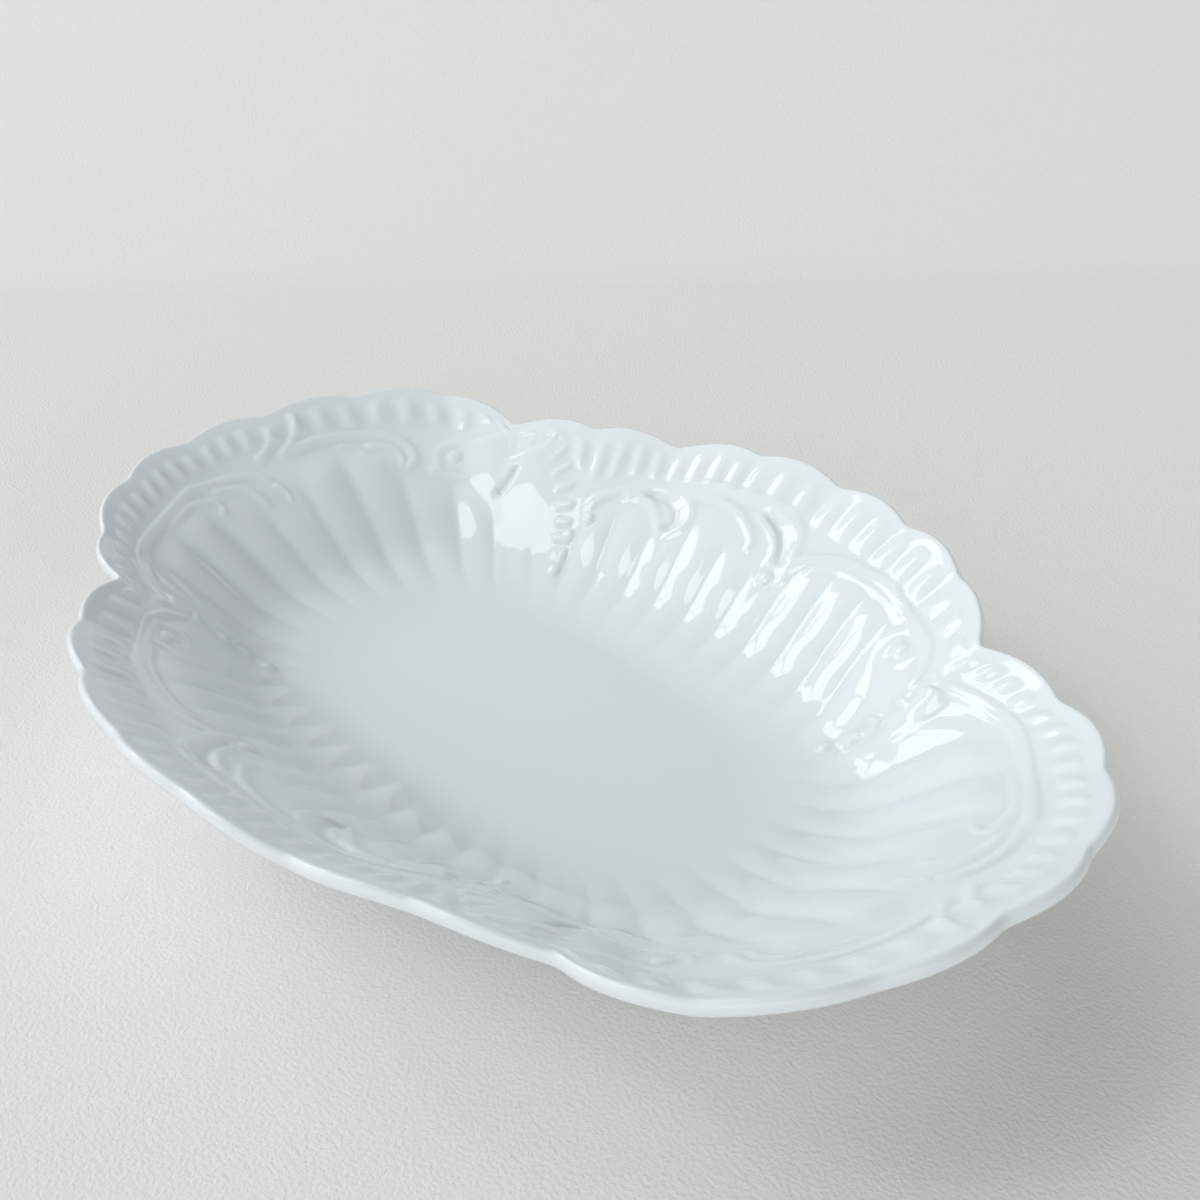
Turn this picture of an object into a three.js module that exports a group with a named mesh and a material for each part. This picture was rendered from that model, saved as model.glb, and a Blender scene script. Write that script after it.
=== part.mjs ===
// Relish dish of white glazed porcelain: a low oval dish of four lobes, each with a scalloped rim,
// gadrooned walls, a scroll rail and a leaf in every notch, standing on a luted foot ring.
// Millimetres, +Z up, +X along the dish; the origin is on the table under the middle of the dish.
import * as THREE from "three";

// Overall sizes
const DISH_LENGTH = 236; // over the scallops, end to end
const DISH_WIDTH = 165.4; // over the scallops, side to side

// Well and wall
const WELL_LENGTH = 129; // the oval floor inside
const WELL_WIDTH = 72;
const WELL_DEPTH = 27.5; // from the mean height of the rim down to the well
const WALL_THICKNESS = 4.2; // measured straight down, floor and wall alike

// Rim
const LIP_HEIGHT = 2.8; // the upright rounded edge, top to bottom
const LIP_WIDTH = 2; // and the full width of its rounding

// Relief on the inside, measured straight up
const GADROON_RISE = 1;
const SCROLL_RISE = 0.7;
const RIB_RISE = 0.5;
const LEAF_RISE = 1.2;

// Foot ring
const FOOT_HEIGHT = 4.8;
const FOOT_WIDTH = 5.2; // where it is luted to the body
const FOOT_INSET = 3.5; // its outer face inside the edge of the well
const FOOT_DRAFT = 0.8; // each face draws in by this much towards the table
const FOOT_EDGE = 0.5; // softened corner at the table

// Counts
const SCALLOPS_PER_LOBE = 7;
const COLUMNS_PER_SCALLOP = 7;
const FOOT_COLUMNS = 96;

// The two kinds of lobe. A scallop's crown stands beyond its two cusps by the bulge and above them by the
// lift. Places along a lobe are counted in scallops from its first notch: the first crease and the width of
// the gadroons, the gaps between two scrolls, and the middle and half width of the leaf in that notch.
const SIDE_LOBE = {
  bulge: 1.9,
  lift: 1.6,
  firstCrease: 0,
  gadroonWidth: 7 / 12,
  scrollGaps: [2.3, 4.15],
  leaf: { middle: 0.3, halfWidth: 0.7 },
};
const END_LOBE = {
  bulge: 2.6,
  lift: 1.1,
  firstCrease: 0.35,
  gadroonWidth: 0.7,
  scrollGaps: [3.75, 5.5],
  leaf: { middle: 0.3, halfWidth: 0.45 },
};
const LOBES = [SIDE_LOBE, END_LOBE, SIDE_LOBE, END_LOBE];

// Cusps of half the rim, clockwise from one notch: shares of the half length and half width inside the
// scallops, and the rise above the mean rim as a share of the depth. A half turn about Z gives the other half.
const HALF_RIM = [
  [-0.655, 0.701, -0.106],
  [-0.477, 0.827, -0.025],
  [-0.295, 0.923, -0.049],
  [-0.104, 0.997, 0.071],
  [0.098, 1.003, 0.057],
  [0.285, 0.951, 0.056],
  [0.452, 0.855, 0.009],
  [0.59, 0.667, -0.095],
  [0.77, 0.591, -0.062],
  [0.919, 0.416, 0.009],
  [0.999, 0.173, 0.021],
  [1.002, -0.102, 0.048],
  [0.964, -0.387, 0.055],
  [0.843, -0.635, 0.012],
];

// The well is a rounded oval, and the notches run down to it at this angle from the long axis
const OVAL_POWER = 3;
const WELL_NOTCH_ANGLE = THREE.MathUtils.degToRad(33);

// The wall's section: share of the way out from the well, and share of the depth climbed there
const WALL_OUT = [0, 0.2, 0.4, 0.6, 0.8, 1];
const WALL_UP = [0.05, 0.15, 0.38, 0.61, 0.79, 1];
const wallSection = new THREE.CubicInterpolant(WALL_OUT, WALL_UP, 1);
wallSection.settings = { endingStart: THREE.ZeroCurvatureEnding, endingEnd: THREE.ZeroCurvatureEnding };
const WELL_FLAT = 0.7; // share of the well that lies flat, before its floor rises to the foot of the wall

// Rows of the surface: the floor, inside from the well out, round the lip, and outside back in to the well
const FLOOR_ROWS = [WELL_FLAT, 0.86];
const INNER_ROWS = [0, 0.06, 0.13, 0.21, 0.3, 0.39, 0.48, 0.57, 0.65, 0.72, 0.77, 0.815, 0.86, 0.91, 0.955, 1];
const LIP_START = THREE.MathUtils.degToRad(107); // the wall runs into the lip here
const LIP_ROWS = [70, 25, -20, -65].map(THREE.MathUtils.degToRad);
const OUTER_ROWS = [0.93, 0.8, 0.64, 0.48, 0.32, 0.16, 0];

// Where each relief lies on the wall, in the same shares
const SCALLOP_FADE = [0.7, 1];
const GADROON_FOOT = [-0.05, 0.35];
const GADROON_HEAD = [0.5, 0.71];
const SCROLL_LINE = 0.77;
const SCROLL_HALF_WIDTH = 0.045;
const SCROLL_GAP = 0.2; // in scallops, from the middle of a gap to a full scroll
const RIB_BAND = [0.815, 0.955];
const LEAF_FOOT = [0.05, 0.25];
const LEAF_HEAD = [0.75, 0.95];

const COLUMNS_PER_LOBE = SCALLOPS_PER_LOBE * COLUMNS_PER_SCALLOP;
const COLUMNS = LOBES.length * COLUMNS_PER_LOBE;
const CUSPS = 2 * HALF_RIM.length;
const WELL_Z = FOOT_HEIGHT + WALL_THICKNESS;

const { smoothstep } = THREE.MathUtils;

// A rounded oval, by its direction from the middle
function ovalPoint(halfX, halfY, angle) {
  const cos = Math.cos(angle);
  const sin = Math.sin(angle);
  const reach = Math.abs(cos / halfX) ** OVAL_POWER + Math.abs(sin / halfY) ** OVAL_POWER;
  const radius = reach ** (-1 / OVAL_POWER);
  return new THREE.Vector2(radius * cos, radius * sin);
}

// A stretch of the well's edge below one lobe
class WellArc extends THREE.Curve {
  constructor(from, to) {
    super();
    this.from = from;
    this.to = to;
  }

  getPoint(t) {
    return ovalPoint(WELL_LENGTH / 2, WELL_WIDTH / 2, THREE.MathUtils.lerp(this.from, this.to, t));
  }
}

const SIDE_ARC = new WellArc(Math.PI - WELL_NOTCH_ANGLE, WELL_NOTCH_ANGLE);
const END_ARC = new WellArc(WELL_NOTCH_ANGLE, -WELL_NOTCH_ANGLE);

function cusp(index) {
  const half = HALF_RIM.length;
  const turn = Math.floor((index % CUSPS) / half) ? -1 : 1;
  const [x, y] = HALF_RIM[index % half];
  const halfLength = DISH_LENGTH / 2 - END_LOBE.bulge;
  const halfWidth = DISH_WIDTH / 2 - SIDE_LOBE.bulge;
  return new THREE.Vector2(turn * x * halfLength, turn * y * halfWidth);
}

// Height of the rim at a cusp above the well
function cuspHeight(index) {
  return WELL_DEPTH * (1 + HALF_RIM[index % HALF_RIM.length][2]);
}

// Smooth lines through the cusps of each lobe, from notch to notch: one in plan, one for the rim's height
function lobeLine(lobe, pointAt) {
  const first = lobe * SCALLOPS_PER_LOBE;
  return new THREE.SplineCurve(Array.from({ length: SCALLOPS_PER_LOBE + 1 }, (_, i) => pointAt(first + i)));
}
const planLines = LOBES.map((_, lobe) => lobeLine(lobe, cusp));
const heightLines = LOBES.map((_, lobe) =>
  lobeLine(lobe, (index) => new THREE.Vector2(index, cuspHeight(index))),
);

// One column of the wall: where it leaves the well, where it meets the rim, and its place in the patterns
function makeColumn(index) {
  const lobe = Math.floor(index / COLUMNS_PER_LOBE);
  const kind = LOBES[lobe];
  const place = (index % COLUMNS_PER_LOBE) / COLUMNS_PER_SCALLOP;
  const share = place / SCALLOPS_PER_LOBE;
  const scallop = Math.floor(index / COLUMNS_PER_SCALLOP);
  const across = (index % COLUMNS_PER_SCALLOP) / COLUMNS_PER_SCALLOP;
  const crown = 4 * across * (1 - across);

  const from = cusp(scallop);
  const chord = cusp(scallop + 1).sub(from);
  const outward = new THREE.Vector2(-chord.y, chord.x).normalize();
  const edge = from.addScaledVector(chord, across).addScaledVector(outward, kind.bulge * crown);

  const well = (lobe % 2 ? END_ARC : SIDE_ARC).getPointAt(share);
  if (lobe > 1) well.negate();

  return {
    well,
    base: planLines[lobe].getPoint(share),
    edge,
    climb: heightLines[lobe].getPoint(share).y,
    lift: kind.lift * crown,
    gadroon: gadroonSwell(place, kind),
    scroll: scrollShare(place, kind),
    rib: index % 2,
    leaf: Math.max(leafShare(place, kind), leafShare(place - SCALLOPS_PER_LOBE, LOBES[(lobe + 1) % 4])),
  };
}

// A gadroon swells between two creases, and each crease falls on a column
function gadroonSwell(place, { firstCrease, gadroonWidth }) {
  const creaseAt = (count) =>
    Math.round((firstCrease + count * gadroonWidth) * COLUMNS_PER_SCALLOP) / COLUMNS_PER_SCALLOP;
  let count = Math.floor((place - firstCrease) / gadroonWidth);
  if (creaseAt(count) > place) count -= 1;
  if (creaseAt(count + 1) <= place) count += 1;
  return Math.sin((Math.PI * (place - creaseAt(count))) / (creaseAt(count + 1) - creaseAt(count)));
}

// A scroll stands at full height except near the gap before the next one
function scrollShare(place, { scrollGaps }) {
  const toGap = Math.min(...scrollGaps.map((gap) => Math.abs(place - gap)));
  return Math.min(1, toGap / SCROLL_GAP);
}

function leafShare(place, { leaf }) {
  return Math.max(0, 1 - Math.abs(place - leaf.middle) / leaf.halfWidth);
}

// Height of the plain wall, without its relief
function wallHeight(column, out) {
  const climb = column.climb * wallSection.evaluate(out)[0];
  return WELL_Z + climb + column.lift * smoothstep(out, ...SCALLOP_FADE);
}

function reliefHeight(column, out) {
  const leaf = LEAF_RISE * column.leaf * smoothstep(out, ...LEAF_FOOT) * (1 - smoothstep(out, ...LEAF_HEAD));
  const clearOfLeaf = 1 - column.leaf;

  const gadroonReach = smoothstep(out, ...GADROON_FOOT) * (1 - smoothstep(out, ...GADROON_HEAD));
  const gadroon = GADROON_RISE * column.gadroon * gadroonReach;

  const onScroll = Math.max(0, 1 - Math.abs(out - SCROLL_LINE) / SCROLL_HALF_WIDTH);
  const scroll = SCROLL_RISE * column.scroll * onScroll;

  const inBand = out > RIB_BAND[0] && out < RIB_BAND[1];
  const rib = inBand ? RIB_RISE * column.rib : 0;
  return leaf + clearOfLeaf * (gadroon + scroll + rib);
}

// A point on the column's line, a share of the way from the well to the rim that stands at this height
function onColumn(column, share, out, z) {
  const rim = column.base.clone().lerp(column.edge, smoothstep(out, ...SCALLOP_FADE));
  const { x, y } = column.well.clone().lerp(rim, share);
  return new THREE.Vector3(x, y, z);
}

// How far the lip's rounding lies inside the rim's edge and below the rim's top, by the angle round it
function lipInset(angle) {
  return (LIP_WIDTH / 2) * (1 - Math.cos(angle));
}

function lipDrop(angle) {
  return (LIP_HEIGHT / 2) * (1 - Math.sin(angle));
}

// Share of a column's line that is left when the lip takes this much off its outer end
function insideEdge(column, inset) {
  return 1 - inset / column.edge.distanceTo(column.well);
}

function lipPoint(column, angle) {
  const z = wallHeight(column, 1) - lipDrop(angle);
  return onColumn(column, insideEdge(column, lipInset(angle)), 1, z);
}

function wallShare(column, out) {
  return out * insideEdge(column, lipInset(LIP_START));
}

function innerPoint(column, out) {
  const belowTop = lipDrop(LIP_START) * wallSection.evaluate(out)[0];
  const z = wallHeight(column, out) - belowTop + reliefHeight(column, out);
  return onColumn(column, wallShare(column, out), out, z);
}

// The underside stays level below the well, so the floor is thicker where it rises
function outerPoint(column, out) {
  const thickness = WALL_THICKNESS + column.climb * WALL_UP[0] * (1 - out);
  return onColumn(column, wallShare(column, out), out, wallHeight(column, out) - thickness);
}

function floorPoint(column, share) {
  const rise = column.climb * WALL_UP[0] * ((share - WELL_FLAT) / (1 - WELL_FLAT)) ** 2;
  return new THREE.Vector3(column.well.x * share, column.well.y * share, WELL_Z + rise);
}

// Joins rings of points into one closed skin: capped by a point at each end, or closed on itself
function skin(rings, caps) {
  const count = rings[0].length;
  const points = rings.flat();
  const index = [];
  const bands = caps ? rings.length - 1 : rings.length;
  for (let ring = 0; ring < bands; ring++) {
    const next = (ring + 1) % rings.length;
    for (let i = 0; i < count; i++) {
      const j = (i + 1) % count;
      const [a, b, c, d] = [ring * count + i, ring * count + j, next * count + j, next * count + i];
      index.push(a, b, c, a, c, d);
    }
  }
  if (caps) {
    const first = points.push(caps[0]) - 1;
    const last = points.push(caps[1]) - 1;
    const end = (rings.length - 1) * count;
    for (let i = 0; i < count; i++) {
      const j = (i + 1) % count;
      index.push(first, j, i, end + i, end + j, last);
    }
  }
  const geometry = new THREE.BufferGeometry().setFromPoints(points);
  geometry.setIndex(index);
  geometry.computeVertexNormals();
  return geometry;
}

function dishBodyGeometry() {
  const columns = Array.from({ length: COLUMNS }, (_, i) => makeColumn(i));
  const rings = [
    ...FLOOR_ROWS.map((share) => columns.map((column) => floorPoint(column, share))),
    ...INNER_ROWS.map((out) => columns.map((column) => innerPoint(column, out))),
    ...LIP_ROWS.map((angle) => columns.map((column) => lipPoint(column, angle))),
    ...OUTER_ROWS.map((out) => columns.map((column) => outerPoint(column, out))),
  ];
  return skin(rings, [new THREE.Vector3(0, 0, WELL_Z), new THREE.Vector3(0, 0, FOOT_HEIGHT)]);
}

function footRingGeometry() {
  const low = FOOT_DRAFT + FOOT_EDGE;
  const section = [
    [0, FOOT_HEIGHT],
    [FOOT_DRAFT, FOOT_EDGE],
    [low, 0],
    [FOOT_WIDTH - low, 0],
    [FOOT_WIDTH - FOOT_DRAFT, FOOT_EDGE],
    [FOOT_WIDTH, FOOT_HEIGHT],
  ];
  const rings = section.map(([inset, z]) =>
    Array.from({ length: FOOT_COLUMNS }, (_, i) => {
      const angle = (-2 * Math.PI * i) / FOOT_COLUMNS;
      const inside = FOOT_INSET + inset;
      const { x, y } = ovalPoint(WELL_LENGTH / 2 - inside, WELL_WIDTH / 2 - inside, angle);
      return new THREE.Vector3(x, y, z);
    }),
  );
  return skin(rings);
}

const glaze = new THREE.MeshStandardMaterial({ color: 0xeff1f1, roughness: 0.12, metalness: 0 });
const biscuit = new THREE.MeshStandardMaterial({ color: 0xe8e3d8, roughness: 0.75, metalness: 0 });

function piece(name, geometry, material) {
  const mesh = new THREE.Mesh(geometry, material);
  mesh.name = name;
  return mesh;
}

const dish = new THREE.Group();
dish.add(piece("dish_body", dishBodyGeometry(), glaze));
dish.add(piece("foot_ring", footRingGeometry(), biscuit));

export default dish;
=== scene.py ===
"""Relish dish of white glazed porcelain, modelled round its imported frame.

The body is one net of rings that formulas press into shape: four lobes, a scalloped rim, gadroons, ribs,
scrolls and notch leaves. The foot ring follows the same oval as the well, a little further in.
"""

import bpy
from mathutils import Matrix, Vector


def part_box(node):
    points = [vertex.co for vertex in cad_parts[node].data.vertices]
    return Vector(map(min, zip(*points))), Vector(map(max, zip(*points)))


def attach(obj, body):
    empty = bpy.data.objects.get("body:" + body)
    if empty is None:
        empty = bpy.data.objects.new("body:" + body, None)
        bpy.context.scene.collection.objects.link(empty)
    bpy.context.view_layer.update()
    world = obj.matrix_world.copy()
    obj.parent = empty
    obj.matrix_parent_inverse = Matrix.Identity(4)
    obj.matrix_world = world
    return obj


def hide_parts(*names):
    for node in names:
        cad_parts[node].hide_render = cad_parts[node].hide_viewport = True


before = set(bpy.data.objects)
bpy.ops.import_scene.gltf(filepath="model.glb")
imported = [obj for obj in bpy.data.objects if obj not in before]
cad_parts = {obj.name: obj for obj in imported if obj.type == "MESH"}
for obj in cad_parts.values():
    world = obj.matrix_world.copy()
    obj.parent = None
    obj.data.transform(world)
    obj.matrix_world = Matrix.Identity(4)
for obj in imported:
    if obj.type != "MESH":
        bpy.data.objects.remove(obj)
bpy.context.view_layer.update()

import math

import bmesh
import bpy
import numpy as np
from mathutils import Matrix, Vector

bl_info = {
    "name": "Relish Dish",
    "version": (1, 0, 0),
    "blender": (4, 5, 0),
    "location": "View3D > Sidebar > Relish Dish",
    "description": "Models a scalloped porcelain relish dish and its studio",
    "category": "Add Mesh",
}

# Heights and widths of the ornament are in millimetres, and everything that Blender gets is in metres
MM = 0.001

# Height of the luted seam, where the body's level underside meets the top of the foot
SEAT_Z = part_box("foot_ring")[1].z

# Counts of the pattern
SCALLOPS_PER_LOBE = 7
HALF_SCALLOPS = 2 * SCALLOPS_PER_LOBE
ALL_SCALLOPS = 2 * HALF_SCALLOPS
GADROONS_PER_SIDE = 12

# Counts of the nets, fine steps along the well's edge, and how near points lie before they are made one
COLUMNS_PER_SCALLOP = 31
COLUMNS = ALL_SCALLOPS * COLUMNS_PER_SCALLOP
FOOT_COLUMNS = 240
WELL_STEPS = 400
MERGE_DISTANCE = 1e-6

# Cusps of half the rim, clockwise from one notch: shares of the half length and half width inside the
# scallops, and the rise above the mean rim as a share of the depth. A half turn about Z gives the rest.
HALF_RIM = [
    (-0.655, 0.701, -0.106), (-0.477, 0.827, -0.025), (-0.295, 0.923, -0.049), (-0.104, 0.997, 0.071),
    (0.098, 1.003, 0.057), (0.285, 0.951, 0.056), (0.452, 0.855, 0.009), (0.59, 0.667, -0.095),
    (0.77, 0.591, -0.062), (0.919, 0.416, 0.009), (0.999, 0.173, 0.021), (1.002, -0.102, 0.048),
    (0.964, -0.387, 0.055), (0.843, -0.635, 0.012),
]

# The well's rounded oval, and the angle from the long axis at which the notches run down to it
OVAL_POWER = 3.0
WELL_NOTCH_ANGLE = math.radians(33)

# The wall's section: share of the way out from the well, share of the depth climbed there, and the slope
WALL_OUT = (0.0, 0.2, 0.4, 0.6, 0.8, 1.0)
WALL_UP = (0.05, 0.15, 0.38, 0.61, 0.79, 1.0)
WALL_SLOPE = (0.34, 0.825, 1.15, 1.025, 0.975, 1.05)

# Share of the well that lies flat
WELL_FLAT = 0.7

# Columns on each side that corners are rounded over, at the rim and lower down on the wall
RIM_COLUMNS = 3
WALL_COLUMNS = 8

# Where the lip takes over from the wall, and where it lets go underneath
LIP_START = math.radians(107)
LIP_END = math.radians(-65)

# Everything below is placed on the wall by two numbers: the place round the rim, in scallops clockwise from
# one notch, and the share of the way out from the well. A side lobe lies from place 0 to 7, and an end lobe
# from 7 to 14.

# Shares of the way out over which the scallops come in
SCALLOP_FADE = (0.7, 1.0)

# A gadroon: where it rises from the well, how it falls off towards its head and how soft its creases are
GADROON_FOOT = (-0.2, 0.45)
GADROON_HEAD = 0.22
GADROON_HEAD_FADE = (-0.2, 0.8)
GADROON_CREASE = 0.16

# The even swell at a notch, how many scallops it takes to pass into gadroons, and how far a side lobe's
# gadroons swell beside an end lobe's
NOTCH_SWELL = 0.5
NOTCH_REACH = 0.4
SIDE_SWELL = 0.65

# Gadroons: their width, where each lobe's first crease lies, and how a side lobe's lean against the columns
SIDE_GADROON = SCALLOPS_PER_LOBE / GADROONS_PER_SIDE
END_GADROON = 0.7
SIDE_FIRST_CREASE = -0.15
END_FIRST_CREASE = 7.35
LEAN = 0.25
LEAN_START = 2.0
LEAN_MIDDLE = 0.3

# Tops of the gadroons under the scrolls and leaves
HEADS = [
    (0, 0.34), (0.9, 0.35), (1.1, 0.45), (1.3, 0.54), (1.6, 0.62), (1.9, 0.63), (2.2, 0.55), (2.45, 0.52),
    (2.75, 0.64), (3.1, 0.62), (3.6, 0.57), (3.9, 0.55), (4.1, 0.46), (4.3, 0.52), (4.55, 0.64), (4.75, 0.68),
    (5.4, 0.7), (5.9, 0.69), (6.1, 0.58), (6.3, 0.51), (6.7, 0.45), (7, 0.3), (7.5, 0.55), (8, 0.7),
    (9.3, 0.71), (9.7, 0.61), (10, 0.6), (10.3, 0.56), (10.65, 0.54), (10.9, 0.7), (11.5, 0.72), (12, 0.68),
    (12.3, 0.57), (12.6, 0.53), (13.2, 0.5), (13.6, 0.4), (14, 0.34),
]

# Ribs under the rim: how many there are up to a place, and the shares of the way out that they reach between
RIB_COUNTS = [
    (0, 0), (0.88, 2.5), (3.1, 11.5), (6.14, 20.5), (7, 23), (8.13, 27.5), (10.63, 37.5), (11.56, 40.5),
    (13.2, 45.5), (14, 48),
]
RIB_LOW = [
    (0, 0.93), (0.6, 0.9), (0.87, 0.76), (1.05, 0.69), (1.27, 0.71), (1.5, 0.77), (1.8, 0.8), (6, 0.785),
    (7, 0.84), (10, 0.848), (12, 0.82), (13.2, 0.81), (13.5, 0.9), (14, 0.93),
]
RIB_HIGH = [(0, 0.94), (4, 0.965), (7, 0.935), (10, 0.945), (12, 0.96), (14, 0.94)]

# A rib: how narrow its crest is, its height at the lower end and what it loses of that on the way up, how
# squarely it stops at both ends, and the shortest reach that it is drawn over
RIB_SHARPNESS = 1.3
RIB_FOOT = 1.2
RIB_LOSS = 0.4
RIB_END_POWER = 2.5
RIB_SHORTEST = 0.01

# Raised lines of the ornament: height and half width in millimetres, whether a groove runs along the crest,
# and the points that the line passes through
SCROLLS = {
    "side_left": (0.7, 2.0, True, [
        (1.16, 0.51), (1.2, 0.57), (1.36, 0.635), (1.6, 0.695), (1.85, 0.74), (2.05, 0.765), (2.3, 0.755),
        (2.5, 0.7), (2.6, 0.63), (2.58, 0.56), (2.45, 0.51)]),
    "side_left_frond": (0.6, 2.4, False, [(1.6, 0.66), (1.8, 0.685), (2.0, 0.655), (2.15, 0.6), (2.3, 0.53)]),
    "side_middle": (0.7, 2.1, True, [
        (2.12, 0.785), (2.67, 0.795), (3.16, 0.79), (3.55, 0.797), (3.85, 0.78), (4.03, 0.735), (4.13, 0.67),
        (4.22, 0.59), (4.29, 0.52)]),
    "side_middle_inner": (0.5, 1.8, False, [
        (2.37, 0.75), (2.76, 0.749), (3.17, 0.709), (3.42, 0.655), (3.57, 0.606), (3.59, 0.57)]),
    "side_middle_curl": (0.4, 1.5, False, [
        (3.4, 0.735), (3.66, 0.694), (3.83, 0.649), (3.93, 0.595), (3.95, 0.555)]),
    "side_right": (0.7, 2.1, True, [
        (4.19, 0.52), (4.28, 0.6), (4.43, 0.666), (4.64, 0.71), (4.88, 0.735), (5.19, 0.75), (5.6, 0.755),
        (6.44, 0.755), (6.68, 0.735), (6.82, 0.697), (6.93, 0.63)]),
    "side_right_inner": (0.4, 1.5, False, [
        (4.49, 0.59), (4.62, 0.656), (4.83, 0.69), (5.2, 0.71), (5.63, 0.714), (6.0, 0.703)]),
    "end_first": (0.65, 2.0, True, [
        (7.08, 0.62), (7.2, 0.69), (7.42, 0.745), (7.8, 0.778), (8.3, 0.79), (9.41, 0.782), (9.76, 0.775),
        (10.07, 0.763), (10.3, 0.739), (10.47, 0.71), (10.54, 0.678)]),
    "end_first_hook": (0.45, 1.3, False, [(10.56, 0.65), (10.65, 0.59), (10.62, 0.545)]),
    "end_first_inner": (0.4, 1.6, False, [
        (8.8, 0.73), (9.3, 0.733), (9.49, 0.72), (9.67, 0.689), (9.71, 0.648), (9.63, 0.619)]),
    "end_first_leaf": (0.45, 2.2, False, [
        (9.75, 0.736), (9.99, 0.71), (10.19, 0.668), (10.26, 0.618), (10.28, 0.572)]),
    "end_second": (0.65, 2.0, True, [
        (10.95, 0.79), (11.26, 0.797), (11.51, 0.797), (11.91, 0.783), (12.21, 0.76), (12.39, 0.726),
        (12.47, 0.677), (12.49, 0.622), (12.4, 0.584)]),
    "end_second_inner": (0.4, 1.5, False, [
        (11.96, 0.722), (12.16, 0.71), (12.29, 0.682), (12.34, 0.639), (12.32, 0.599)]),
    "end_second_small": (0.3, 1.3, False, [(11.6, 0.745), (11.8, 0.725), (11.9, 0.68)]),
    "under_coil": (0.4, 1.5, False, [(12.67, 0.567), (12.86, 0.538), (13.06, 0.532), (13.31, 0.548)]),
    "rim_comma_1": (0.45, 1.8, False, [(10.58, 0.785), (10.79, 0.829), (10.89, 0.872), (10.91, 0.899)]),
    "rim_comma_2": (0.45, 1.8, False, [(10.89, 0.777), (11.13, 0.839), (11.26, 0.902), (11.25, 0.955)]),
}

# Hollows beside the scrolls and in the long leaf: depth, half width and points
HOLLOWS = {
    "side_left": (0.6, 1.7, [(1.9, 0.72), (2.2, 0.7), (2.38, 0.64), (2.43, 0.57), (2.33, 0.54)]),
    "side_middle": (0.6, 1.5, [(3.5, 0.765), (3.78, 0.72), (3.96, 0.65), (4.06, 0.59)]),
    "leaf_eye": (0.9, 1.8, [(13.72, 0.52), (13.91, 0.6), (14.08, 0.7)]),
}

# Smooth pads of the leaves: height and half width in millimetres, and points from root to tip
PADS = {
    "long_leaf": (1.4, 11.0, [(14.22, 0.84), (14.27, 0.68), (14.36, 0.5), (14.45, 0.34), (14.52, 0.22)]),
    "long_leaf_flank": (1.2, 9.0, [(13.62, 0.86), (13.6, 0.68), (13.6, 0.48), (13.62, 0.34)]),
    "short_leaf": (1.3, 4.5, [(7.25, 0.7), (7.38, 0.58), (7.42, 0.44), (7.45, 0.3), (7.46, 0.2)]),
}

# Frills along the leaves' edges, in the same way
FRILLS = {
    "long_leaf_1": (0.6, 1.6, [(13.95, 0.83), (13.98, 0.9)]),
    "long_leaf_2": (0.6, 1.7, [(14.09, 0.83), (14.13, 0.91)]),
    "long_leaf_3": (0.6, 1.7, [(14.21, 0.83), (14.26, 0.916)]),
    "long_leaf_4": (0.6, 1.7, [(14.31, 0.82), (14.37, 0.892)]),
    "long_leaf_5": (0.7, 1.8, [(14.41, 0.81), (14.5, 0.9)]),
    "long_leaf_6": (0.7, 1.9, [(14.52, 0.77), (14.67, 0.853)]),
    "long_leaf_7": (0.7, 1.9, [(14.6, 0.7), (14.77, 0.767)]),
    "long_leaf_8": (0.7, 1.9, [(14.66, 0.61), (14.85, 0.641)]),
    "long_leaf_9": (0.7, 1.9, [(14.7, 0.51), (14.9, 0.53)]),
    "long_leaf_10": (0.7, 1.8, [(14.72, 0.42), (14.92, 0.436)]),
    "long_leaf_11": (0.6, 1.7, [(14.73, 0.34), (14.92, 0.35)]),
    "long_leaf_12": (0.5, 1.6, [(14.74, 0.26), (14.9, 0.262)]),
    "short_leaf_1": (0.9, 2.0, [(7.3, 0.52), (7.12, 0.53)]),
    "short_leaf_2": (0.9, 2.0, [(7.28, 0.37), (7.07, 0.37)]),
    "short_leaf_3": (0.8, 1.9, [(7.26, 0.25), (7.04, 0.23)]),
}

# Round beads: place, share of the way out, radius and height in millimetres
BEADS = [
    (1.21, 0.475, 1.5, 0.8), (4.08, 0.491, 1.7, 0.8), (0.96, 0.367, 1.4, 0.7), (0.92, 0.265, 1.4, 0.7),
    (0.86, 0.162, 1.4, 0.6), (7.07, 0.095, 1.5, 0.6), (6.36, 0.635, 1.8, 0.5), (13.04, 0.649, 1.9, 0.5),
]

# Spiral ends of two scrolls, wound clockwise: place, share of the way out, outer radius in millimetres, the
# angle where the coil starts and how many turns it makes
COILS = [
    (6.36, 0.635, 5.0, math.radians(200), 1.1),
    (13.04, 0.649, 5.2, math.radians(300), 1.1),
]

# A coil's height and half width in millimetres, its inner radius as a share of the outer one, how many points
# draw it, and how far to each side of its place the way along the rim is taken
COIL_HEIGHT = 0.22
COIL_HALF_WIDTH = 1.8
COIL_INNER_SHARE = 0.5
COIL_POINTS = 40
COIL_SIDE_STEP = 0.1

# Shares of its height and of its half width that a line loses from root to tip
SCROLL_TAPER = (0.25, 0.25)
PAD_TAPER = (0.85, 0.2)
FRILL_TAPER = (0.3, 0.3)
COIL_TAPER = (0.2, 0.2)
HOLLOW_TAPER = (0.2, 0.2)

# Shares of its length over which a line rises from its root
ROOT_FADE = (-0.08, 0.12)

# The groove along a crest: its depth and half width as shares of the line's own
GROOVE_DEPTH = 0.4
GROOVE_HALF_WIDTH = 0.35

# How lines that cross run together: the higher this power, the more the higher line hides the lower one
BLEND_POWER = 4

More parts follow.
